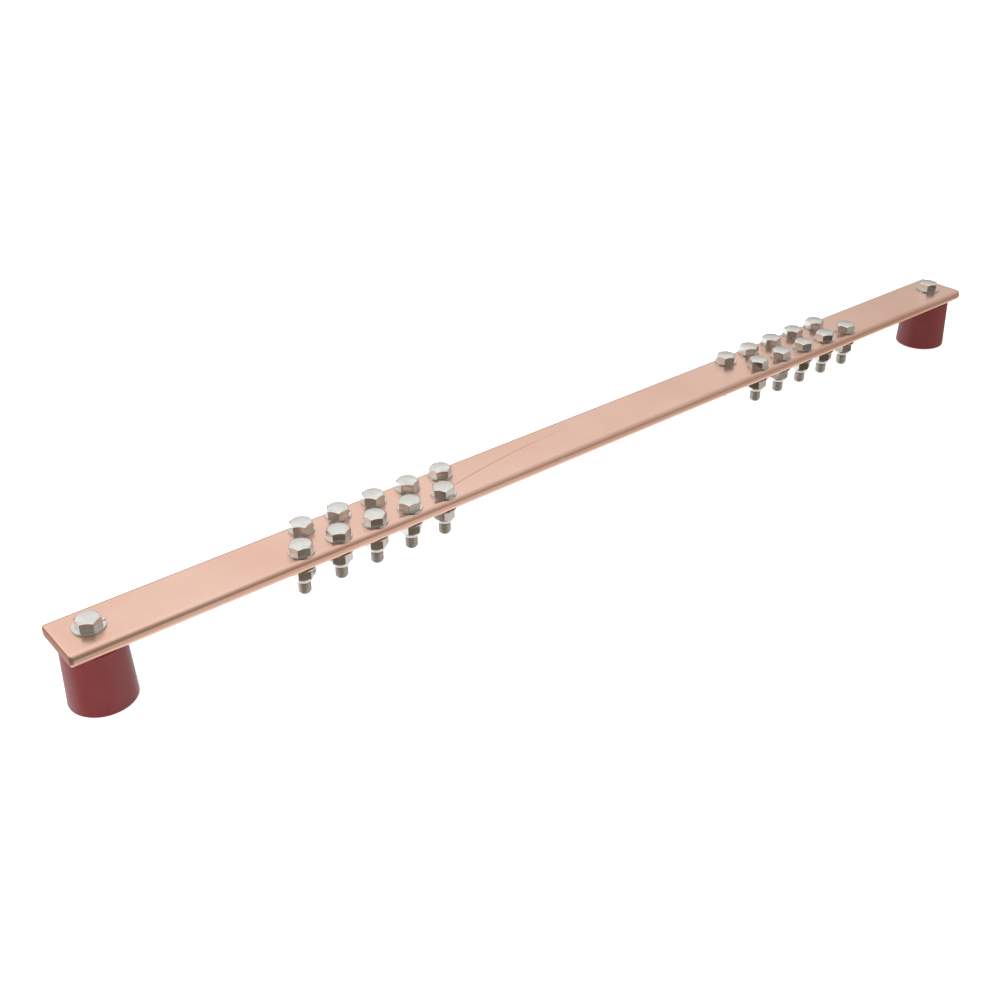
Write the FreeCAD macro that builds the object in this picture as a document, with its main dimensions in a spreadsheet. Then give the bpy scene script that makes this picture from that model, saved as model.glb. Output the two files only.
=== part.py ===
"""Rack grounding busbar: a flat copper bar on two moulded insulators.

Twenty bolted lug stations stand on the bar in two mirrored groups of two staggered rows.
The frame stands on the insulator bases: the origin is on the floor under the middle of the
bar, +X runs along the bar to its far end, -Y is its front edge and +Z is up.
"""
import FreeCAD, Part
import Sketcher
import os
import re

doc = FreeCAD.newDocument("rack_grounding_busbar")

# Driving dimensions in millimetres; bolts_per_row is a count.
SIZES = {
    # flat bar, sawn square from drawn bar with rounded long edges
    "bar_length": 612.0,
    "bar_width": 30.0,
    "bar_thickness": 6.5,
    "bar_edge_radius": 2.5,
    "bar_end_radius": 1.5,
    # where the holes lie on the bar
    "end_hole_inset": 15.0,
    "first_station_inset": 112.0,
    "station_pitch": 20.0,
    "row_stagger": 10.0,
    "row_spacing": 16.0,
    "bolts_per_row": 5,
    # M6 thread, taken at its major diameter, and what passes it
    "thread_diameter": 6.0,
    "thread_clearance": 0.1,
    "bar_hole_clearance": 0.6,
    "washer_bore_clearance": 0.4,
    # hexagon bolts
    "hexagon_across_flats": 10.0,
    "head_face_diameter": 9.5,
    "head_chamfer_angle": 30.0,
    "bolt_head_height": 4.0,
    "station_bolt_length": 22.0,
    "end_bolt_length": 16.0,
    # lock nuts: a hexagon with a round collar that holds a nylon ring
    "nut_hexagon_height": 5.0,
    "nut_collar_height": 2.5,
    "nut_collar_diameter": 8.8,
    "nylon_ring_diameter": 7.8,
    # flat washers
    "station_washer_diameter": 12.5,
    "end_washer_diameter": 14.5,
    "washer_thickness": 0.8,
    # moulded insulators
    "insulator_height": 30.0,
    "insulator_top_diameter": 28.0,
    "insulator_base_diameter": 30.0,
    "insulator_edge_chamfer": 0.5,
    # metal inserts moulded into each insulator
    "insert_diameter": 11.0,
    "insert_floor": 2.0,
    "insert_separation": 6.0,
    "bolt_tip_clearance": 1.0,
    "base_thread_bore": 5.0,
}

# Sizes that follow from the driving ones, written as expressions of them.
BAR_BOTTOM = "insulator_height"
BAR_TOP = f"({BAR_BOTTOM} + bar_thickness)"
TOP_THREAD_DEPTH = "(end_bolt_length - washer_thickness - bar_thickness + bolt_tip_clearance)"
TOP_INSERT_LENGTH = f"({TOP_THREAD_DEPTH} + insert_floor)"
BASE_INSERT_LENGTH = f"(insulator_height - {TOP_INSERT_LENGTH} - insert_separation)"
BASE_THREAD_DEPTH = f"({BASE_INSERT_LENGTH} - insert_floor)"
ENGAGED_BORE = "(thread_diameter + thread_clearance)"
BAR_HOLE = "(thread_diameter + bar_hole_clearance)"
WASHER_BORE = "(thread_diameter + washer_bore_clearance)"
END_X = "(bar_length / 2 - end_hole_inset)"

# Each end of the bar, with the side of the middle that it lies on.
ENDS = {"near": -1, "far": 1}
# Each row of stations, with its side of the bar's centre line and its share of the stagger.
ROWS = {"front": (-1, 0), "back": (1, 1)}

sheet = doc.addObject("Spreadsheet::Sheet", "Sizes")
for line, (alias, size) in enumerate(SIZES.items(), start=1):
    sheet.set(f"A{line}", alias)
    sheet.set(f"B{line}", str(size))
    sheet.setAlias(f"B{line}", alias)
doc.recompute()


def bound(expression):
    """The expression with each driving dimension named by its cell in the sheet."""
    return re.sub(r"[a-z_]{3,}", lambda name: f"Sizes.{name[0]}" if name[0] in SIZES else name[0],
                  expression)


def value(expression):
    """What the expression comes to now."""
    return float(sheet.evalExpression(bound(expression)))


def origin_feature(body, role):
    return next(item for item in body.Origin.OriginFeatures if item.Role == role)


def new_body(label):
    return doc.addObject("PartDesign::Body", label)


def new_sketch(body, plane="XY_Plane"):
    sketch = body.newObject("Sketcher::SketchObject", f"{body.Label}_sketch")
    sketch.AttachmentSupport = (origin_feature(body, plane), "")
    sketch.MapMode = "FlatFace"
    return sketch


def place_point(sketch, geometry, vertex, point):
    """Tie a sketch point to its x and y expressions, measured from the sketch's origin."""
    for kind, expression in zip(("DistanceX", "DistanceY"), point):
        constraint = Sketcher.Constraint(kind, -1, 1, geometry, vertex, value(expression))
        index = sketch.addConstraint(constraint)
        sketch.setExpression(f"Constraints[{index}]", bound(expression))


def draw_polygon(sketch, points):
    """A closed outline of straight lines through points given as expressions."""
    corners = [FreeCAD.Vector(value(x), value(y), 0) for x, y in points]
    first = sketch.GeometryCount
    count = len(corners)
    for index, corner in enumerate(corners):
        sketch.addGeometry(Part.LineSegment(corner, corners[(index + 1) % count]), False)
    for index, point in enumerate(points):
        following = first + (index + 1) % count
        sketch.addConstraint(Sketcher.Constraint("Coincident", first + index, 2, following, 1))
        place_point(sketch, first + index, 1, point)


def draw_circle(sketch, diameter, centre=("0", "0")):
    middle = FreeCAD.Vector(value(centre[0]), value(centre[1]), 0)
    circle = Part.Circle(middle, FreeCAD.Vector(0, 0, 1), value(diameter) / 2)
    index = sketch.addGeometry(circle, False)
    constraint = sketch.addConstraint(Sketcher.Constraint("Diameter", index, value(diameter)))
    sketch.setExpression(f"Constraints[{constraint}]", bound(diameter))
    place_point(sketch, index, 3, centre)


def draw_hexagon(sketch):
    """A hexagon with two of its flats square to the bar."""
    corner = "hexagon_across_flats / 2 / cos(30)"
    draw_polygon(sketch, [(f"{corner} * cos({turn})", f"{corner} * sin({turn})")
                          for turn in range(30, 360, 60)])


def pad(body, sketch, length, symmetric=False, downwards=False):
    feature = body.newObject("PartDesign::Pad", f"{body.Label}_pad")
    feature.Profile = sketch
    feature.setExpression("Length", bound(length))
    feature.Midplane = symmetric
    feature.Reversed = downwards
    return feature


def pocket_through(body, sketch):
    """Cut the sketch right through, to both sides of its plane."""
    feature = body.newObject("PartDesign::Pocket", f"{body.Label}_pocket")
    feature.Profile = sketch
    feature.Type = "ThroughAll"
    feature.Midplane = True
    return feature


def turn_profile(body, kind, points):
    """Revolve an outline of (radius, height) points about Z, to add or to cut."""
    sketch = new_sketch(body, "XZ_Plane")
    draw_polygon(sketch, points)
    feature = body.newObject(f"PartDesign::{kind}", f"{body.Label}_{kind.lower()}")
    feature.Profile = sketch
    feature.ReferenceAxis = (sketch, ["V_Axis"])
    feature.Angle = 360
    return feature


def chamfer_head(body):
    """Turn the corners off the top of a bolt's hexagon head."""
    face = "head_face_diameter / 2"
    outside = "hexagon_across_flats"
    drop = f"({outside} - {face}) * tan(head_chamfer_angle)"
    turn_profile(body, "Groove", [(face, "bolt_head_height"), (outside, "bolt_head_height"),
                                  (outside, f"bolt_head_height - {drop}")])


def make_ring(label, diameter, bore, thickness):
    body = new_body(label)
    sketch = new_sketch(body)
    draw_circle(sketch, diameter)
    draw_circle(sketch, bore)
    pad(body, sketch, thickness)
    return body


def make_bolt(label, length):
    """Hexagon bolt, with its origin under the head and its shank pointing down."""
    body = new_body(label)
    head = new_sketch(body)
    draw_hexagon(head)
    pad(body, head, "bolt_head_height")
    chamfer_head(body)
    shank = new_sketch(body)
    draw_circle(shank, "thread_diameter")
    pad(body, shank, length, downwards=True)
    return body


def make_nut(label):
    """Lock nut, with its origin where the collar leaves the hexagon and the collar below."""
    body = new_body(label)
    hexagon = new_sketch(body)
    draw_hexagon(hexagon)
    draw_circle(hexagon, ENGAGED_BORE)
    pad(body, hexagon, "nut_hexagon_height")
    collar = new_sketch(body)
    draw_circle(collar, "nut_collar_diameter")
    draw_circle(collar, "nylon_ring_diameter")
    pad(body, collar, "nut_collar_height", downwards=True)
    return body


def make_insert(label, mouth, inwards, length, bore, depth):
    """Turned insert with a blind thread that opens at its mouth."""
    body = new_body(label)
    radius = "insert_diameter / 2"
    end = f"{mouth} {inwards} {length}"
    floor = f"{mouth} {inwards} {depth}"
    turn_profile(body, "Revolution", [
        (radius, mouth),
        (radius, end),
        ("0", end),
        ("0", floor),
        (f"{bore} / 2", floor),
        (f"{bore} / 2", mouth),
    ])
    return body


def cut_insert_hollow(body, mouth, inwards, length):
    """The hollow that an insert fills, from the face where the insert opens."""
    radius = "insert_diameter / 2"
    end = f"{mouth} {inwards} {length}"
    turn_profile(body, "Groove", [("0", mouth), (radius, mouth), (radius, end), ("0", end)])


def make_insulator(label):
    """Tapered moulded body, with the hollows that its two inserts are moulded into."""
    body = new_body(label)
    base = "insulator_base_diameter / 2"
    top = "insulator_top_diameter / 2"
    edge = "insulator_edge_chamfer"
    turn_profile(body, "Revolution", [
        ("0", "0"),
        (f"{base} - {edge}", "0"),
        (base, edge),
        (top, f"insulator_height - {edge}"),
        (f"{top} - {edge}", "insulator_height"),
        ("0", "insulator_height"),
    ])
    cut_insert_hollow(body, "0", "+", BASE_INSERT_LENGTH)
    cut_insert_hollow(body, "insulator_height", "-", TOP_INSERT_LENGTH)
    return body


def station_places():
    """Yield each station's row name, x and y; the two ends' groups mirror each other."""
    for row, (across, staggered) in ROWS.items():
        for side in ENDS.values():
            for step in range(int(value("bolts_per_row"))):
                inset = f"first_station_inset + {staggered} * row_stagger + {step} * station_pitch"
                yield row, f"{side} * (bar_length / 2 - ({inset}))", f"{across} * row_spacing / 2"


def make_busbar(label):
    """Flat bar, rounded along its edges and round its ends, with a clear hole at every bolt."""
    body = new_body(label)
    section = new_sketch(body, "YZ_Plane")
    side = "bar_width / 2"
    draw_polygon(section, [
        (f"-{side}", BAR_BOTTOM),
        (side, BAR_BOTTOM),
        (side, BAR_TOP),
        (f"-{side}", BAR_TOP),
    ])
    blank = pad(body, section, "bar_length", symmetric=True)
    doc.recompute()
    drawn = body.newObject("PartDesign::Fillet", f"{label}_long_edges")
    drawn.Base = (blank, [f"Edge{number}" for number, edge in enumerate(blank.Shape.Edges, 1)
                          if edge.BoundBox.XLength > value("bar_length") / 2])
    drawn.setExpression("Radius", bound("bar_edge_radius"))
    doc.recompute()
    dressed = body.newObject("PartDesign::Fillet", f"{label}_end_edges")
    dressed.Base = (drawn, [f"Face{number}" for number, face in enumerate(drawn.Shape.Faces, 1)
                            if face.BoundBox.XLength < value("bar_end_radius")])
    dressed.setExpression("Radius", bound("bar_end_radius"))
    holes = new_sketch(body)
    for side in ENDS.values():
        draw_circle(holes, BAR_HOLE, (f"{side} * {END_X}", "0"))
    for row, x, y in station_places():
        draw_circle(holes, BAR_HOLE, (x, y))
    pocket_through(body, holes)
    return body


def link_to(master, x="0", y="0", z="0", turn=0):
    """One more copy of a master piece, turned about Z and moved to its place."""
    link = doc.addObject("App::Link", f"{master.Label}_copy")
    link.LinkedObject = master
    link.Placement = FreeCAD.Placement(FreeCAD.Vector(), FreeCAD.Rotation(turn, 0, 0))
    for axis, expression in zip("xyz", (x, y, z)):
        link.setExpression(f"Placement.Base.{axis}", bound(expression))
    return link


def make_group(label, links):
    group = doc.addObject("Part::Compound", label)
    group.Links = links
    return group


def place(body, x="0", z="0"):
    body.setExpression("Placement.Base.x", bound(x))
    body.setExpression("Placement.Base.z", bound(z))
    return body


nodes = [make_busbar("busbar")]

# An insulator under each end of the bar, held by one bolt into its top insert.
for end, side in ENDS.items():
    x = f"{side} * {END_X}"
    top_insert = make_insert(f"{end}_insulator_top_insert", "insulator_height", "-",
                             TOP_INSERT_LENGTH, ENGAGED_BORE, TOP_THREAD_DEPTH)
    base_insert = make_insert(f"{end}_insulator_base_insert", "0", "+",
                              BASE_INSERT_LENGTH, "base_thread_bore", BASE_THREAD_DEPTH)
    washer = make_ring(f"{end}_end_washer", "end_washer_diameter", WASHER_BORE,
                       "washer_thickness")
    bolt = make_bolt(f"{end}_end_bolt", "end_bolt_length")
    nodes += [
        place(make_insulator(f"{end}_insulator"), x),
        place(top_insert, x),
        place(base_insert, x),
        place(washer, x, BAR_TOP),
        place(bolt, x, f"{BAR_TOP} + washer_thickness"),
    ]

# The four shapes of piece that repeat at every lug station.
station_bolt = make_bolt("station_bolt", "station_bolt_length")
station_washer = make_ring("station_washer", "station_washer_diameter", WASHER_BORE,
                           "washer_thickness")
lock_nut = make_nut("lock_nut")
nylon_ring = make_ring("nylon_ring", "nylon_ring_diameter", ENGAGED_BORE, "nut_collar_height")

# The stack at a station from the top down: each piece with the height of its own origin.
LOWER_WASHER = f"{BAR_BOTTOM} - washer_thickness"
COLLAR_TOP = f"{LOWER_WASHER} - nut_hexagon_height"
STACK = {
    "bolts": (station_bolt, f"{BAR_TOP} + washer_thickness"),
    "upper_washers": (station_washer, BAR_TOP),
    "lower_washers": (station_washer, LOWER_WASHER),
    "lock_nuts": (lock_nut, COLLAR_TOP),
    "nylon_rings": (nylon_ring, f"{COLLAR_TOP} - nut_collar_height"),
}

# Fasteners stop at any angle as they tighten: degrees along a row, and what to add in each
# row and for each next piece down the stack.
STOP_ANGLES = (48, 32, 40, 53, 6)
ROW_TURNS = {"front": 28, "back": 0}
STACK_TURN = 17
for level, (kind, (master, height)) in enumerate(STACK.items()):
    links = {row: [] for row in ROWS}
    for number, (row, x, y) in enumerate(station_places()):
        turn = STOP_ANGLES[number % len(STOP_ANGLES)] + ROW_TURNS[row] + level * STACK_TURN
        links[row].append(link_to(master, x, y, height, turn))
    nodes += [make_group(f"{row}_row_{kind}", links[row]) for row in ROWS]

doc.recompute()
for item in doc.Objects:
    if "Invalid" in item.State or "Error" in item.State:
        raise RuntimeError(f"{item.Label} did not build: {item.State}")
for node in nodes:
    if node.Shape.isNull() or not node.Shape.isValid():
        raise RuntimeError(f"{node.Label} has no valid shape")

os.makedirs("parts", exist_ok=True)
for node in nodes:
    node.Shape.exportStep(f"parts/{node.Label}.step")
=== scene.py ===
import bmesh
import bpy
import math
from mathutils import Matrix, Quaternion, Vector


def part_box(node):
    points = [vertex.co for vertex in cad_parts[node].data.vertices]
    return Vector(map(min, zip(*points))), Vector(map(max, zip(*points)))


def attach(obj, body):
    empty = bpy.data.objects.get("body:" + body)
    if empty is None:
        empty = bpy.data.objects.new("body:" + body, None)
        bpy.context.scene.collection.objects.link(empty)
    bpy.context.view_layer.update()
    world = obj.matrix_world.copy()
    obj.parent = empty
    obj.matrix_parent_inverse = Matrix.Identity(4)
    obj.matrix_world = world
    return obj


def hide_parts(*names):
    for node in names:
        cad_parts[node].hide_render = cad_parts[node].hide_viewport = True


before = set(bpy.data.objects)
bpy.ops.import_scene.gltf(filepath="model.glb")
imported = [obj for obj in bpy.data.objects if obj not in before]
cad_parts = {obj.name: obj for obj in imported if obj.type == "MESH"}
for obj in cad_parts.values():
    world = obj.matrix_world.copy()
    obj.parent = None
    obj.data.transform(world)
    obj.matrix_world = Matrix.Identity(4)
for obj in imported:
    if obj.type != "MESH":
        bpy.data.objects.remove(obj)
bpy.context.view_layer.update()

# ---------------------------------------------------------------------------
# Copper bar: one length of hard-drawn electrolytic copper flat bar, drawn through a die, sawn
# to length, deburred and drilled. The die leaves long faint lines and rounded long edges.
# ---------------------------------------------------------------------------

MM = 0.001


def linear(hex_colour):
    """An sRGB hex colour as the linear RGBA that Blender's sockets take."""
    channels = [int(hex_colour[place:place + 2], 16) / 255 for place in (0, 2, 4)]
    return [c / 12.92 if c <= 0.04045 else ((c + 0.055) / 1.055) ** 2.4 for c in channels] + [1.0]


def add(tree, kind, settings=None, sockets=None, links=None):
    """One node, with its settings, its fixed sockets and the outputs that feed its sockets."""
    node = tree.nodes.new(kind)
    for name, setting in (settings or {}).items():
        setattr(node, name, setting)
    for name, fixed in (sockets or {}).items():
        node.inputs[name].default_value = fixed
    for name, output in (links or {}).items():
        tree.links.new(output, node.inputs[name])
    return node


def new_material(name):
    """An empty material, with its node tree and its principled shader."""
    material = bpy.data.materials.new(name)
    material.use_nodes = True
    tree = material.node_tree
    return material, tree, tree.nodes["Principled BSDF"]


def dress(node_name, material):
    """Give a CAD node its material."""
    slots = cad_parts[node_name].data.materials
    slots.clear()
    slots.append(material)


bar_low, bar_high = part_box("busbar")
bar_length = bar_high.x - bar_low.x

# Bright copper that has been handled: pink where it is clean, a little browner where a thin
# oxide has begun, with long drawing lines that stretch each reflection across the bar. The real
# lines are about 0.1 mm wide, and are drawn coarser here so that they show.
copper, tree, shader = new_material("electrolytic copper flat bar")
DRAWING_LINE = 0.9 * MM
STREAK_LENGTH = 160 * MM
OXIDE_PATCH = 45 * MM
LINE_TINT = 0.06
place = add(tree, "ShaderNodeTexCoord").outputs["Object"]
along_bar = add(tree, "ShaderNodeMapping", links={"Vector": place}, sockets={
    "Scale": (1 / STREAK_LENGTH, 1 / DRAWING_LINE, 1 / DRAWING_LINE)})
drawing_lines = add(tree, "ShaderNodeTexNoise", links={"Vector": along_bar.outputs["Vector"]},
                    sockets={"Scale": 1.0, "Detail": 5.0, "Roughness": 0.65})
patches = add(tree, "ShaderNodeTexNoise", links={"Vector": place},
              sockets={"Scale": 1 / OXIDE_PATCH, "Detail": 4.0, "Roughness": 0.55})
tint = add(tree, "ShaderNodeValToRGB", links={"Fac": patches.outputs["Fac"]})
tint.color_ramp.elements[0].position = 0.32
tint.color_ramp.elements[0].color = linear("F5CAB6")
tint.color_ramp.elements[1].position = 0.68
tint.color_ramp.elements[1].color = linear("FBD5C3")
lined = add(tree, "ShaderNodeMix", {"data_type": "RGBA", "blend_type": "MULTIPLY"},
            {"Factor": LINE_TINT}, {"A": tint.outputs["Color"], "B": drawing_lines.outputs["Fac"]})

# One long fine scratch on the top face, left by a lug that slid past the near group. It bends
# like a hand's sweep and fades out. SCRATCH_START and SCRATCH_END are places along the bar,
# SCRATCH_SIDE is how far it ends from the middle line, and SCRATCH_REACH how far it swings.
SCRATCH_START = -108 * MM
SCRATCH_END = -17 * MM
SCRATCH_REACH = 10.6 * MM
SCRATCH_SIDE = 5.6 * MM
SCRATCH_WIDTH = 0.35 * MM
TOP_SKIN = 0.1 * MM
axes = add(tree, "ShaderNodeSeparateXYZ", links={"Vector": place})
run = add(tree, "ShaderNodeMapRange", links={"Value": axes.outputs["X"]}, sockets={
    "From Min": SCRATCH_END, "From Max": SCRATCH_START, "To Min": 0.0, "To Max": 1.0})
bend = add(tree, "ShaderNodeMath", {"operation": "POWER"}, {1: 2.0}, {0: run.outputs["Result"]})
line = add(tree, "ShaderNodeMath", {"operation": "MULTIPLY_ADD"},
           {1: SCRATCH_REACH, 2: -SCRATCH_SIDE}, {0: bend.outputs["Value"]})
beside_line = add(tree, "ShaderNodeMath", {"operation": "ADD"}, None,
                  {0: axes.outputs["Y"], 1: line.outputs["Value"]})
off_line = add(tree, "ShaderNodeMath", {"operation": "ABSOLUTE"}, None,
               {0: beside_line.outputs["Value"]})
on_line = add(tree, "ShaderNodeMapRange", links={"Value": off_line.outputs["Value"]}, sockets={
    "From Min": 0.0, "From Max": SCRATCH_WIDTH, "To Min": 1.0, "To Max": 0.0})
strength = add(tree, "ShaderNodeValToRGB", links={"Fac": run.outputs["Result"]})
strength.color_ramp.elements[0].position = 0.02
strength.color_ramp.elements[0].color = (0, 0, 0, 1)
strength.color_ramp.elements[1].position = 0.55
strength.color_ramp.elements[1].color = (1, 1, 1, 1)
on_top = add(tree, "ShaderNodeMath", {"operation": "GREATER_THAN"}, {1: bar_high.z - TOP_SKIN},
             {0: axes.outputs["Z"]})
past_start = add(tree, "ShaderNodeMath", {"operation": "GREATER_THAN"}, {1: SCRATCH_START},
                 {0: axes.outputs["X"]})
faded_line = add(tree, "ShaderNodeMath", {"operation": "MULTIPLY"}, None,
                 {0: on_line.outputs["Result"], 1: strength.outputs["Color"]})
top_line = add(tree, "ShaderNodeMath", {"operation": "MULTIPLY"}, None,
               {0: faded_line.outputs["Value"], 1: on_top.outputs["Value"]})
scratch = add(tree, "ShaderNodeMath", {"operation": "MULTIPLY"}, None,
              {0: top_line.outputs["Value"], 1: past_start.outputs["Value"]})
scratched = add(tree, "ShaderNodeMix", {"data_type": "RGBA"}, {"B": linear("A8745F")},
                {"Factor": scratch.outputs["Value"], "A": lined.outputs["Result"]})

# The two sawn ends are rougher than the drawn faces, with upright saw marks, drawn
# at twice their real spacing so that they show. Their darker brown colour is painted shade.
SAW_MARK = 0.5 * MM
SAW_STROKE = 5 * MM
SAWN_SKIN = 0.25 * MM
SAWN_DULLNESS = 0.2
from_middle = add(tree, "ShaderNodeMath", {"operation": "ABSOLUTE"}, None,
                  {0: axes.outputs["X"]})
sawn = add(tree, "ShaderNodeMath", {"operation": "GREATER_THAN"},
           {1: bar_length / 2 - SAWN_SKIN}, {0: from_middle.outputs["Value"]})
saw_place = add(tree, "ShaderNodeMapping", links={"Vector": place}, sockets={
    "Scale": (1 / SAW_MARK, 1 / SAW_MARK, 1 / SAW_STROKE)})
saw_marks = add(tree, "ShaderNodeTexNoise", links={"Vector": saw_place.outputs["Vector"]},
                sockets={"Scale": 1.0, "Detail": 3.0})
# The ends' brown B07E68 is painted shade: it darkens the sawn end faces to stand for the shade on
# them.
end_painted_shade = add(tree, "ShaderNodeMix", {"data_type": "RGBA"}, {"B": linear("B07E68")},
            {"Factor": sawn.outputs["Value"], "A": scratched.outputs["Result"]})
tree.links.new(end_painted_shade.outputs["Result"], shader.inputs["Base Color"])
polish = add(tree, "ShaderNodeMapRange", links={"Value": drawing_lines.outputs["Fac"]}, sockets={
    "From Min": 0.3, "From Max": 0.7, "To Min": 0.27, "To Max": 0.33})
dulled = add(tree, "ShaderNodeMath", {"operation": "MULTIPLY_ADD"}, {1: SAWN_DULLNESS},
             {0: sawn.outputs["Value"], 2: polish.outputs["Result"]})
tree.links.new(dulled.outputs["Value"], shader.inputs["Roughness"])
grooves = add(tree, "ShaderNodeMix", {"data_type": "FLOAT"}, None, {
    "Factor": sawn.outputs["Value"], "A": drawing_lines.outputs["Fac"],
    "B": saw_marks.outputs["Fac"]})
relief = add(tree, "ShaderNodeBump", None, {"Strength": 0.14, "Distance": 0.01 * MM},
             {"Height": grooves.outputs["Result"]})
tree.links.new(relief.outputs["Normal"], shader.inputs["Normal"])
shader.inputs["Metallic"].default_value = 1.0
dress("busbar", copper)

# ---------------------------------------------------------------------------
# Insulators: two tapered drums of glass-filled polyester moulding compound, pressed hot in a
# polished die. They stand on the rack and hold the bar clear of it.
# ---------------------------------------------------------------------------

# Thermoset moulding: dark maroon all through, satin, with the faint flow clouds and the fine
# orange peel that a filled compound keeps. The peel is drawn coarser than it is, to show at all.
polyester, tree, shader = new_material("moulded polyester insulator")
FLOW_CLOUD = 9 * MM
ORANGE_PEEL = 0.7 * MM
place = add(tree, "ShaderNodeTexCoord").outputs["Object"]
clouds = add(tree, "ShaderNodeTexNoise", links={"Vector": place},
             sockets={"Scale": 1 / FLOW_CLOUD, "Detail": 6.0, "Roughness": 0.6})
body_colour = add(tree, "ShaderNodeValToRGB", links={"Fac": clouds.outputs["Fac"]})
body_colour.color_ramp.elements[0].position = 0.35
body_colour.color_ramp.elements[0].color = linear("712427")
body_colour.color_ramp.elements[1].position = 0.7
body_colour.color_ramp.elements[1].color = linear("78282B")
tree.links.new(body_colour.outputs["Color"], shader.inputs["Base Color"])
gloss = add(tree, "ShaderNodeMapRange", links={"Value": clouds.outputs["Fac"]}, sockets={
    "From Min": 0.3, "From Max": 0.7, "To Min": 0.38, "To Max": 0.46})
tree.links.new(gloss.outputs["Result"], shader.inputs["Roughness"])
peel = add(tree, "ShaderNodeTexNoise", links={"Vector": place},
           sockets={"Scale": 1 / ORANGE_PEEL, "Detail": 2.0})
relief = add(tree, "ShaderNodeBump", None, {"Strength": 0.06, "Distance": 0.02 * MM},
             {"Height": peel.outputs["Fac"]})
tree.links.new(relief.outputs["Normal"], shader.inputs["Normal"])
shader.inputs["IOR"].default_value = 1.54
for end in ("near", "far"):
    dress(f"{end}_insulator", polyester)

# ---------------------------------------------------------------------------
# Inserts: four turned brass bushes moulded into the insulators' tops and bases. The bolts and
# the rack's screws thread into them, and only their mouths can be seen.
# ---------------------------------------------------------------------------

# Brass bar turned on a lathe: yellow, with fine rings round each mouth. The two ends fold onto
# one, so that a single set of rings serves both.
brass, tree, shader = new_material("turned brass")
TOOL_MARK = 0.25 * MM
RINGS_PER_WAVE = 20
insert_low, insert_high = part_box("far_insulator_base_insert")
insert_x = (insert_low.x + insert_high.x) / 2
place = add(tree, "ShaderNodeTexCoord").outputs["Object"]
axes = add(tree, "ShaderNodeSeparateXYZ", links={"Vector": place})
folded = add(tree, "ShaderNodeMath", {"operation": "ABSOLUTE"}, None, {0: axes.outputs["X"]})
centred = add(tree, "ShaderNodeMath", {"operation": "SUBTRACT"}, {1: insert_x},
              {0: folded.outputs["Value"]})
flat_place = add(tree, "ShaderNodeCombineXYZ", None, None,
                 {"X": centred.outputs["Value"], "Y": axes.outputs["Y"]})
rings = add(tree, "ShaderNodeTexWave", {"wave_type": "RINGS", "rings_direction": "Z"},
            {"Scale": 1 / (TOOL_MARK * RINGS_PER_WAVE), "Distortion": 0.4},
            {"Vector": flat_place.outputs["Vector"]})
tone = add(tree, "ShaderNodeValToRGB", links={"Fac": rings.outputs["Fac"]})
tone.color_ramp.elements[0].color = linear("C3A05A")
tone.color_ramp.elements[1].color = linear("D8BB78")
tree.links.new(tone.outputs["Color"], shader.inputs["Base Color"])
relief = add(tree, "ShaderNodeBump", None, {"Strength": 0.3, "Distance": 0.01 * MM},
             {"Height": rings.outputs["Fac"]})
tree.links.new(relief.outputs["Normal"], shader.inputs["Normal"])
shader.inputs["Metallic"].default_value = 1.0
shader.inputs["Roughness"].default_value = 0.28
for end in ("near", "far"):
    for face in ("top", "base"):
        dress(f"{end}_insulator_{face}_insert", brass)

# ---------------------------------------------------------------------------
# Flat washers: stamped from steel sheet and zinc plated. The stamping rounds their edges a
# little, and one lies under each bolt head and above each nut.
# ---------------------------------------------------------------------------

SMOOTH_TURN = math.radians(14)


def finish_piece(name, mesh_parts, material, node_name):
    """One object of a finished bmesh, smooth but for its edges, in the place of its CAD node."""
    bmesh.ops.recalc_face_normals(mesh_parts, faces=mesh_parts.faces)
    mesh = bpy.data.meshes.new(name)
    mesh_parts.to_mesh(mesh)
    mesh_parts.free()
    mesh.shade_smooth()
    mesh.set_sharp_from_angle(angle=SMOOTH_TURN)
    mesh.materials.append(material)
    piece = bpy.data.objects.new(name, mesh)
    bpy.context.scene.collection.objects.link(piece)
    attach(piece, "root")
    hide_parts(node_name)


def bevel_edges(bm, width, angle):
    """Round every edge that turns by more than this angle, as a stamping or forging die does."""
    sharp = [edge for edge in bm.edges if edge.is_manifold and edge.calc_face_angle() > angle]
    bmesh.ops.bevel(bm, geom=sharp, offset=width, affect="EDGES", segments=2, profile=0.5,
                    material=-1, clamp_overlap=True)


def spin_ring(bm, outline, sides):
    """Turn a closed (radius, height) outline once round Z."""
    corners = [bm.verts.new((radius, 0, height)) for radius, height in outline]
    face = bm.faces.new(corners)
    bmesh.ops.spin(bm, geom=[face] + list(face.edges) + corners, cent=(0, 0, 0), axis=(0, 0, 1),
                   angle=math.tau, steps=sides, use_merge=True)
    bmesh.ops.delete(bm, geom=[face], context="FACES_ONLY")
    bmesh.ops.remove_doubles(bm, verts=bm.verts, dist=1e-6)


def repeat(template, places):
    """A bmesh with one copy of the template turned and moved to each (x, y, z, turn) place."""
    master = bpy.data.meshes.new("master")
    template.to_mesh(master)
    template.free()
    group = bmesh.new()
    for x, y, z, turn in places:
        first = len(group.verts)
        group.from_mesh(master)
        group.verts.ensure_lookup_table()
        move = Matrix.Translation((x, y, z)) @ Matrix.Rotation(math.radians(turn), 4, "Z")
        bmesh.ops.transform(group, matrix=move, verts=group.verts[first:])
    bpy.data.meshes.remove(master)
    return group


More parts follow.
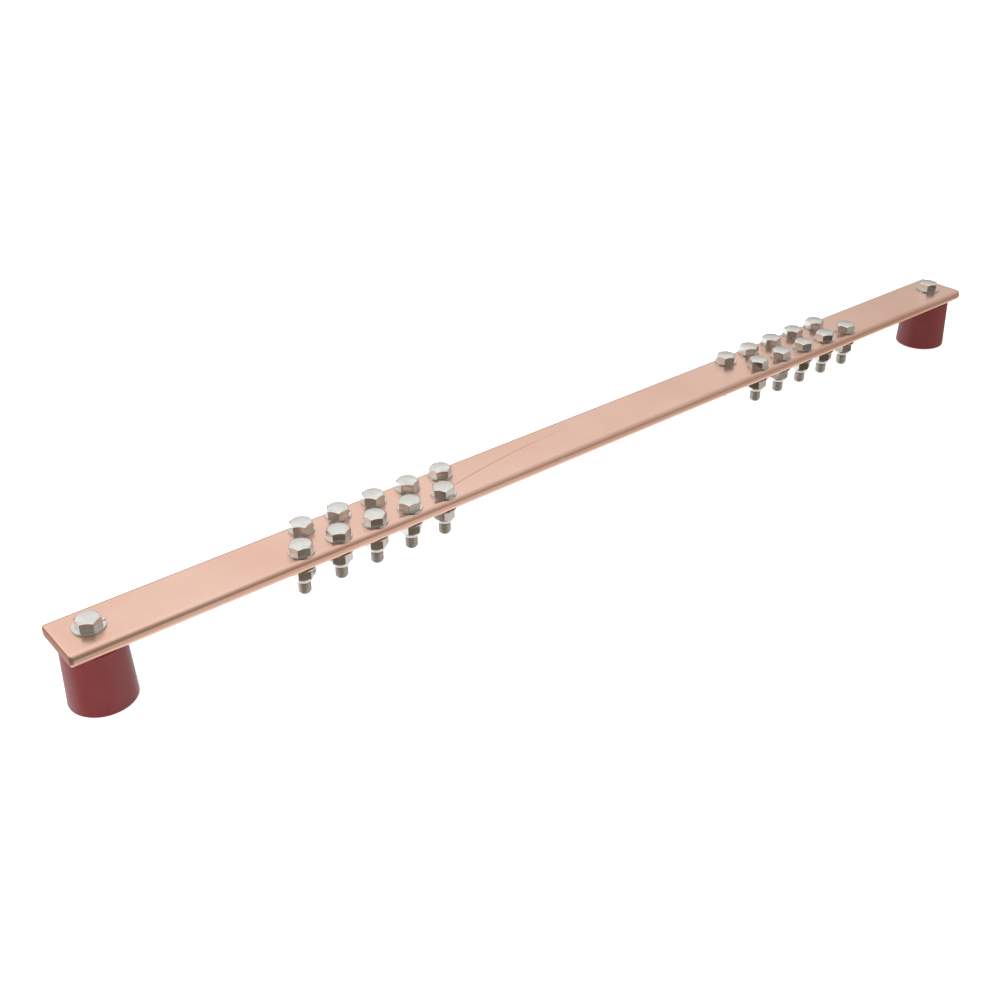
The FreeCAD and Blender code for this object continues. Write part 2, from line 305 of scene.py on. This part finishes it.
# Bright zinc plate over steel: pale grey with a slight green cast, and mirror-like but for a
# fine grain, drawn coarser than it is, and small dull clouds from the plating bath.
zinc, tree, shader = new_material("zinc-plated steel")
PLATING_GRAIN = 0.35 * MM
BATH_CLOUD = 4 * MM
place = add(tree, "ShaderNodeTexCoord").outputs["Object"]
clouds = add(tree, "ShaderNodeTexNoise", links={"Vector": place},
             sockets={"Scale": 1 / BATH_CLOUD, "Detail": 5.0, "Roughness": 0.6})
grain = add(tree, "ShaderNodeTexNoise", links={"Vector": place},
            sockets={"Scale": 1 / PLATING_GRAIN, "Detail": 3.0})
plate = add(tree, "ShaderNodeValToRGB", links={"Fac": clouds.outputs["Fac"]})
plate.color_ramp.elements[0].position = 0.3
plate.color_ramp.elements[0].color = linear("DEDDD9")
plate.color_ramp.elements[1].position = 0.7
plate.color_ramp.elements[1].color = linear("EBEAE6")
tree.links.new(plate.outputs["Color"], shader.inputs["Base Color"])
sheen = add(tree, "ShaderNodeMapRange", links={"Value": clouds.outputs["Fac"]}, sockets={
    "From Min": 0.3, "From Max": 0.7, "To Min": 0.28, "To Max": 0.18})
# The threads stand below the nuts. Rolling and plating leave them duller than the heads.
THREAD_ROUGHNESS = 0.5
height = add(tree, "ShaderNodeSeparateXYZ", links={"Vector": place}).outputs["Z"]
is_thread = add(tree, "ShaderNodeMath", {"operation": "LESS_THAN"},
                {1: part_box("front_row_lock_nuts")[0].z}, {0: height})
dulled = add(tree, "ShaderNodeMix", {"data_type": "FLOAT"}, {"B": THREAD_ROUGHNESS},
             {"Factor": is_thread.outputs["Value"], "A": sheen.outputs["Result"]})
tree.links.new(dulled.outputs["Result"], shader.inputs["Roughness"])
relief = add(tree, "ShaderNodeBump", None, {"Strength": 0.06, "Distance": 0.01 * MM},
             {"Height": grain.outputs["Fac"]})
tree.links.new(relief.outputs["Normal"], shader.inputs["Normal"])
shader.inputs["Metallic"].default_value = 1.0

# A row's stations: two groups of five at an even pitch, the far group the near one's mirror.
# Rings and hexagons alike have SIDES corners, a multiple of six.
PITCH = 20 * MM
PER_GROUP = 5
SIDES = 48
WASHER_BORE = 3.2 * MM
WASHER_EDGE = 0.12 * MM
STAMPED_CORNER = math.radians(60)
ROWS = ("front", "back")


def row_places(row, height):
    """Each station of a row as (x, y, z, turn), the near group outwards in, then the far."""
    low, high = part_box(f"{row}_row_upper_washers")
    radius = (high.y - low.y) / 2
    centre_y = (high.y + low.y) / 2
    steps = [step * PITCH for step in range(PER_GROUP)]
    near = [low.x + radius + step for step in steps]
    far = [high.x - radius - step for step in steps]
    return [(x, centre_y, height, 0) for x in near + far]


def make_washer(radius, thickness):
    """One washer lying on Z = 0."""
    bm = bmesh.new()
    spin_ring(bm, [(WASHER_BORE, 0), (radius, 0), (radius, thickness), (WASHER_BORE, thickness)],
              SIDES)
    bevel_edges(bm, WASHER_EDGE, STAMPED_CORNER)
    return bm


for row in ROWS:
    for level in ("upper", "lower"):
        node_name = f"{row}_row_{level}_washers"
        low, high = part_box(node_name)
        washer = make_washer((high.y - low.y) / 2, high.z - low.z)
        finish_piece(f"{node_name}_stamped", repeat(washer, row_places(row, low.z)), zinc,
                     node_name)
for end in ("near", "far"):
    node_name = f"{end}_end_washer"
    low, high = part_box(node_name)
    washer = make_washer((high.y - low.y) / 2, high.z - low.z)
    middle = ((low.x + high.x) / 2, 0, low.z, 0)
    finish_piece(f"{node_name}_stamped", repeat(washer, [middle]), zinc, node_name)

# ---------------------------------------------------------------------------
# Bolts: M6 hexagon bolts, cold forged in steel, thread rolled and zinc plated. The end bolts
# hold the bar to the insulators, and the twenty station bolts clamp the cable lugs.
# ---------------------------------------------------------------------------

HALF_FLATS = 5.0 * MM
HEAD_HEIGHT = 4.0 * MM
HEAD_FACE = 4.75 * MM
CHAMFER_SLOPE = math.tan(math.radians(30))
FORGED_EDGE = 0.12 * MM
FORGED_CORNER = math.radians(25)
THREAD_RADIUS = 3.0 * MM
THREAD_ROOT = 2.4 * MM
THREAD_PITCH = 1.0 * MM
THREAD_SIDES = 30
THREAD_CREST = 0.14 * MM
THREAD_ROOT_GAP = 0.12 * MM
THREAD_UNDERCUT = 0.3 * MM
TIP_CHAMFER = 0.7 * MM
# How far the ridge's foot reaches into the core, and the core into the head.
BURIED = 0.05 * MM
# The angles, in degrees, at which the solids' hexagons stopped turning, so that these lie on
# them. Each piece down the stack is turned by a further STACK_TURN, and the nut is the third.
STOP_ANGLES = (48, 32, 40, 53, 6)
ROW_TURNS = {"front": 28, "back": 0}
STACK_TURN = 17
NUT_TURN = 3 * STACK_TURN
HEXAGON_TURN = math.radians(60)


def round_at(radius, height):
    """A circle at a height, as an outline for stack_outlines."""
    return lambda reach: (radius, height)


def hexagon_at(height, slope=0.0):
    """A hexagon whose corners are turned off at a slope, as an outline for stack_outlines."""
    return lambda reach: (reach, height + (reach - HEAD_FACE) * slope)


def stack_outlines(bm, outlines, capped):
    """Skin a stack of outlines, capped at both ends or turned back into its own start."""
    corners = bmesh.ops.create_circle(bm, segments=SIDES, radius=1.0, cap_ends=capped)["verts"]
    rim = [edge for edge in bm.edges if all(vertex in corners for vertex in edge.verts)]
    first_rim = list(rim)
    for level, outline in enumerate(outlines):
        if level:
            raised = bmesh.ops.extrude_edge_only(bm, edges=rim)["geom"]
            corners = [item for item in raised if isinstance(item, bmesh.types.BMVert)]
            rim = [item for item in raised if isinstance(item, bmesh.types.BMEdge)
                   and all(vertex in corners for vertex in item.verts)]
        for vertex in corners:
            angle = math.atan2(vertex.co.y, vertex.co.x)
            from_flat = (angle + HEXAGON_TURN / 2) % HEXAGON_TURN - HEXAGON_TURN / 2
            radius, height = outline(HALF_FLATS / math.cos(from_flat))
            vertex.co = (radius * math.cos(angle), radius * math.sin(angle), height)
    if capped:
        bmesh.ops.contextual_create(bm, geom=rim)
    else:
        bmesh.ops.bridge_loops(bm, edges=first_rim + rim)


def add_thread(bm, tip, top):
    """A rolled thread's ridge, wound up from the tip."""
    foot = (THREAD_PITCH - THREAD_ROOT_GAP) / 2
    corners = [bm.verts.new((radius, 0, tip + rise)) for radius, rise in (
        (THREAD_ROOT - BURIED, 0), (THREAD_RADIUS, foot - THREAD_CREST / 2),
        (THREAD_RADIUS, foot + THREAD_CREST / 2), (THREAD_ROOT - BURIED, 2 * foot))]
    start = bm.faces.new(corners)
    turns = (top - tip) / THREAD_PITCH - 1
    steps = round(turns * THREAD_SIDES)
    bmesh.ops.spin(bm, geom=[start] + list(start.edges) + corners, cent=(0, 0, 0),
                   axis=(0, 0, 1), angle=math.tau * steps / THREAD_SIDES,
                   dvec=(0, 0, THREAD_PITCH / THREAD_SIDES), steps=steps)


def make_bolt(length):
    """One bolt, threaded from its tip to its head, with the head's seat on Z = 0."""
    bm = bmesh.new()
    stack_outlines(bm, [
        hexagon_at(0),
        hexagon_at(HEAD_HEIGHT, -CHAMFER_SLOPE),
        round_at(HEAD_FACE, HEAD_HEIGHT),
    ], capped=True)
    bevel_edges(bm, FORGED_EDGE, FORGED_CORNER)
    stack_outlines(bm, [
        round_at(THREAD_ROOT - BURIED, -length),
        round_at(THREAD_ROOT, -length + BURIED),
        round_at(THREAD_ROOT, BURIED),
    ], capped=True)
    ridge = bmesh.new()
    add_thread(ridge, -length, -THREAD_UNDERCUT)
    # The tip's chamfer cuts the ridge back.
    for vertex in ridge.verts:
        reach = math.hypot(vertex.co.x, vertex.co.y)
        limit = max(THREAD_RADIUS - TIP_CHAMFER + vertex.co.z + length, THREAD_ROOT - BURIED)
        if reach > limit:
            vertex.co.x *= limit / reach
            vertex.co.y *= limit / reach
    ridge_mesh = bpy.data.meshes.new("ridge")
    ridge.to_mesh(ridge_mesh)
    ridge.free()
    bm.from_mesh(ridge_mesh)
    bpy.data.meshes.remove(ridge_mesh)
    return bm


def turned(row, places, extra=0):
    """The places of a row, each with the angle at which its hexagon stopped."""
    return [(x, y, z, STOP_ANGLES[number % PER_GROUP] + ROW_TURNS[row] + extra)
            for number, (x, y, z, _) in enumerate(places)]


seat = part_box("front_row_upper_washers")[1].z
for row in ROWS:
    node_name = f"{row}_row_bolts"
    low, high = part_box(node_name)
    bolt = make_bolt(seat - low.z)
    finish_piece(f"{node_name}_forged", repeat(bolt, turned(row, row_places(row, seat))), zinc,
                 node_name)
for end in ("near", "far"):
    node_name = f"{end}_end_bolt"
    low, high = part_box(node_name)
    end_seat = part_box(f"{end}_end_washer")[1].z
    bolt = make_bolt(end_seat - low.z)
    middle = ((low.x + high.x) / 2, 0, end_seat, 0)
    finish_piece(f"{node_name}_forged", repeat(bolt, [middle]), zinc, node_name)

# ---------------------------------------------------------------------------
# Lock nuts: M6 hexagons, cold formed in steel and zinc plated, each with a round collar whose
# lip is rolled in over a nylon ring.
# ---------------------------------------------------------------------------

COLLAR_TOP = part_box("front_row_nylon_rings")[1].z
NUT_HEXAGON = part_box("front_row_lock_nuts")[1].z - COLLAR_TOP
COLLAR_DEPTH = COLLAR_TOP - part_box("front_row_lock_nuts")[0].z
COLLAR_RADIUS = 4.4 * MM
COLLAR_WALL = 0.5 * MM
LIP_RADIUS = 3.2 * MM
LIP_THICKNESS = 0.4 * MM
LIP_START = 0.1 * MM
LIP_STEP = 10
NUT_BORE = 3.05 * MM


def make_nut():
    """One nut with its hexagon above Z = 0 and its collar below, as one skin with its bore."""
    bm = bmesh.new()
    inner = COLLAR_RADIUS - COLLAR_WALL
    quarter = [math.radians(angle) for angle in range(90, -1, -LIP_STEP)]
    rolled_lip = [round_at(LIP_RADIUS + (COLLAR_RADIUS - LIP_RADIUS) * math.cos(angle),
                           -LIP_START - (COLLAR_DEPTH - LIP_START) * math.sin(angle))
                  for angle in quarter]
    stack_outlines(bm, rolled_lip + [
        round_at(COLLAR_RADIUS, 0),
        round_at(HEAD_FACE, 0),
        hexagon_at(0, CHAMFER_SLOPE),
        hexagon_at(NUT_HEXAGON, -CHAMFER_SLOPE),
        round_at(HEAD_FACE, NUT_HEXAGON),
        round_at(NUT_BORE, NUT_HEXAGON),
        round_at(NUT_BORE, 0),
        round_at(inner, 0),
        round_at(inner, LIP_THICKNESS - COLLAR_DEPTH),
        round_at(LIP_RADIUS, LIP_THICKNESS - COLLAR_DEPTH),
    ], capped=False)
    return bm


for row in ROWS:
    node_name = f"{row}_row_lock_nuts"
    places = turned(row, row_places(row, COLLAR_TOP), NUT_TURN)
    finish_piece(f"{node_name}_formed", repeat(make_nut(), places), zinc, node_name)

# ---------------------------------------------------------------------------
# Nylon rings: one inside each nut's collar, gripping the thread so that the nut can't shake
# loose. Each is punched from natural nylon, and shows only from below.
# ---------------------------------------------------------------------------

# Natural nylon: milky off-white, slightly clouded and waxy.
nylon, tree, shader = new_material("natural nylon")
NYLON_CLOUD = 2 * MM
RING_BORE = THREAD_RADIUS - 0.1 * MM
place = add(tree, "ShaderNodeTexCoord").outputs["Object"]
clouds = add(tree, "ShaderNodeTexNoise", links={"Vector": place},
             sockets={"Scale": 1 / NYLON_CLOUD, "Detail": 3.0})
milk = add(tree, "ShaderNodeValToRGB", links={"Fac": clouds.outputs["Fac"]})
milk.color_ramp.elements[0].color = linear("DAD6C8")
milk.color_ramp.elements[1].color = linear("EFECE2")
tree.links.new(milk.outputs["Color"], shader.inputs["Base Color"])
shader.inputs["Roughness"].default_value = 0.45
shader.inputs["IOR"].default_value = 1.53
for row in ROWS:
    node_name = f"{row}_row_nylon_rings"
    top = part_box(node_name)[1].z
    ring = bmesh.new()
    spin_ring(ring, [
        (RING_BORE, LIP_THICKNESS - COLLAR_DEPTH),
        (COLLAR_RADIUS - COLLAR_WALL, LIP_THICKNESS - COLLAR_DEPTH),
        (COLLAR_RADIUS - COLLAR_WALL, 0),
        (RING_BORE, 0),
    ], SIDES)
    finish_piece(f"{node_name}_punched", repeat(ring, row_places(row, top)), nylon, node_name)

# ---------------------------------------------------------------------------
# Studio: a plain pale floor under the part, a pale room whose near front corner is unlit, two
# soft boxes, and a card that lifts the near insulator.
# ---------------------------------------------------------------------------

# Frosted acrylic lit from beneath: an even white that holds hardly any shadow.
acrylic, tree, shader = new_material("backlit white acrylic")
FROSTING = 3 * MM
FLOOR_REACH = 6.0
place = add(tree, "ShaderNodeTexCoord").outputs["Object"]
frost = add(tree, "ShaderNodeTexNoise", links={"Vector": place}, sockets={"Scale": 1 / FROSTING})
white = add(tree, "ShaderNodeValToRGB", links={"Fac": frost.outputs["Fac"]})
white.color_ramp.elements[0].color = linear("F5F5F4")
white.color_ramp.elements[1].color = linear("F8F8F7")
tree.links.new(white.outputs["Color"], shader.inputs["Base Color"])
shader.inputs["Roughness"].default_value = 0.8
shader.inputs["Emission Color"].default_value = linear("FFFFFF")
shader.inputs["Emission Strength"].default_value = 0.6
floor_mesh = bmesh.new()
bmesh.ops.create_grid(floor_mesh, x_segments=1, y_segments=1, size=FLOOR_REACH)
sheet = bpy.data.meshes.new("floor")
floor_mesh.to_mesh(sheet)
floor_mesh.free()
sheet.materials.append(acrylic)
floor = bpy.data.objects.new("floor", sheet)
# The metal reflects the room's own lower half, which is darker towards the front.
floor.visible_glossy = False
bpy.context.scene.collection.objects.link(floor)

# The room, from straight down to straight up: a pale table, a dim warm skirting round the
# horizon and a bright ceiling. The back wall is the brighter one, and the near front corner is
# unlit, so metal that faces it reads dark and brown.
WARM_GREEN_CUT = 0.18
WARM_BLUE_CUT = 0.32
UNLIT_CORNER = (-0.7, -0.7, 0.0)
room = bpy.data.worlds.new("pale room")
room.use_nodes = True
bpy.context.scene.world = room
tree = room.node_tree
direction = add(tree, "ShaderNodeTexCoord").outputs["Generated"]
axes = add(tree, "ShaderNodeSeparateXYZ", links={"Vector": direction})


def add_ramp(tree, source, stops):
    """A ramp against a cosine from -1 to 1. A stop is a cosine, a level and a warmth."""
    share = add(tree, "ShaderNodeMapRange", None, {"From Min": -1.0, "From Max": 1.0},
                {"Value": source})
    ramp = add(tree, "ShaderNodeValToRGB", links={"Fac": share.outputs["Result"]})
    elements = ramp.color_ramp.elements
    while len(elements) < len(stops):
        elements.new(0.5)
    for element, (cosine, level, warmth) in zip(elements, stops):
        element.position = (cosine + 1) / 2
        element.color = (level, level * (1 - WARM_GREEN_CUT * warmth),
                         level * (1 - WARM_BLUE_CUT * warmth), 1.0)
    return ramp.outputs["Color"]


back_wall = add_ramp(tree, axes.outputs["Z"], (
    (-1.0, 1.2, 0), (-0.6, 1.3, 0), (-0.4, 1.25, 0), (-0.3, 1.0, 0), (-0.08, 0.25, 0),
    (0.1, 0.3, 0), (0.32, 0.48, 0.2), (0.375, 0.79, 0.2), (0.42, 0.8, 0.1), (0.56, 1.05, 0.1),
    (0.7, 0.93, 0), (1.0, 1.1, 0)))
front_wall = add_ramp(tree, axes.outputs["Z"], (
    (-1.0, 0.95, 0.2), (-0.63, 0.95, 0.2), (-0.52, 0.76, 0.5), (-0.45, 0.66, 0.6),
    (-0.4, 0.42, 0.9), (-0.33, 0.33, 1), (-0.15, 0.33, 1), (-0.05, 0.44, 0.7), (0.05, 0.5, 0.5),
    (0.35, 0.5, 0.3), (0.75, 0.68, 0.2), (1.0, 1.1, 0)))
unlit_corner = add_ramp(tree, axes.outputs["Z"], (
    (-1.0, 1.2, 0.2), (-0.8, 0.7, 0.3), (-0.66, 0.5, 0.6), (-0.6, 0.14, 2), (-0.36, 0.06, 2),
    (-0.25, 0.15, 0.6), (0.0, 0.3, 0.4), (0.4, 0.12, 0.5), (0.55, 0.15, 0.5), (0.75, 0.65, 0.2),
    (1.0, 1.1, 0)))
to_back = add_ramp(tree, axes.outputs["Y"], ((0.15, 0, 0), (0.55, 1, 0)))
walls = add(tree, "ShaderNodeMix", {"data_type": "RGBA"}, None,
            {"Factor": to_back, "A": front_wall, "B": back_wall})
corner_share = add(tree, "ShaderNodeVectorMath", {"operation": "DOT_PRODUCT"},
                   {1: UNLIT_CORNER}, {0: direction})
to_corner = add_ramp(tree, corner_share.outputs["Value"], ((0.3, 0, 0), (0.55, 1, 0)))
around = add(tree, "ShaderNodeMix", {"data_type": "RGBA"}, None,
             {"Factor": to_corner, "A": walls.outputs["Result"], "B": unlit_corner})
tree.links.new(around.outputs["Result"], tree.nodes["Background"].inputs["Color"])


def add_softbox(name, place, aim, width, height, watts):
    """A rectangular soft box, in metres and watts, at a place and turned to face its aim."""
    light = bpy.data.lights.new(name, "AREA")
    light.shape = "RECTANGLE"
    light.size = width
    light.size_y = height
    light.energy = watts
    box = bpy.data.objects.new(name, light)
    bpy.context.scene.collection.objects.link(box)
    box.location = place
    box.rotation_euler = (Vector(aim) - Vector(place)).to_track_quat("-Z", "Y").to_euler()
    return box


# The overhead box and the card light the mouldings, and are kept out of the metal's
# reflections. The card lifts the near moulding alone.
under_bar = (0, 0, bar_low.z)
near_moulding = (bar_low.x, 0, bar_low.z / 2)
overhead = add_softbox("overhead softbox", (-0.55, -0.15, 1.35), under_bar, 1.6, 1.2, 6)
overhead.visible_glossy = False
add_softbox("left softbox", (-1.2, 1.1, 0.45), under_bar, 1.4, 1.0, 1.5)
card = add_softbox("near reflector card", (-0.68, -0.30, 0.22), near_moulding, 0.6, 0.4, 1.5)
card.visible_glossy = False

# ---------------------------------------------------------------------------
# Camera: past the near end and above the front edge, looking along the bar, so that the near
# insulator stands full in view and the far one closes the line.
# ---------------------------------------------------------------------------

CAMERA_PLACE = (-0.4260, -0.4382, 0.3489)
CAMERA_AIM = (-0.0726, 0.0, 0.0138)
CAMERA_ROLL = math.radians(-0.52)
lens = bpy.data.cameras.new("camera")
lens.sensor_width = 36.0
lens.lens = 45.88
camera = bpy.data.objects.new("camera", lens)
bpy.context.scene.collection.objects.link(camera)
camera.location = CAMERA_PLACE
level = (Vector(CAMERA_AIM) - Vector(CAMERA_PLACE)).to_track_quat("-Z", "Y")
camera.rotation_mode = "QUATERNION"
camera.rotation_quaternion = level @ Quaternion((0, 0, 1), CAMERA_ROLL)
bpy.context.scene.camera = camera
bpy.context.scene.view_settings.view_transform = "Standard"
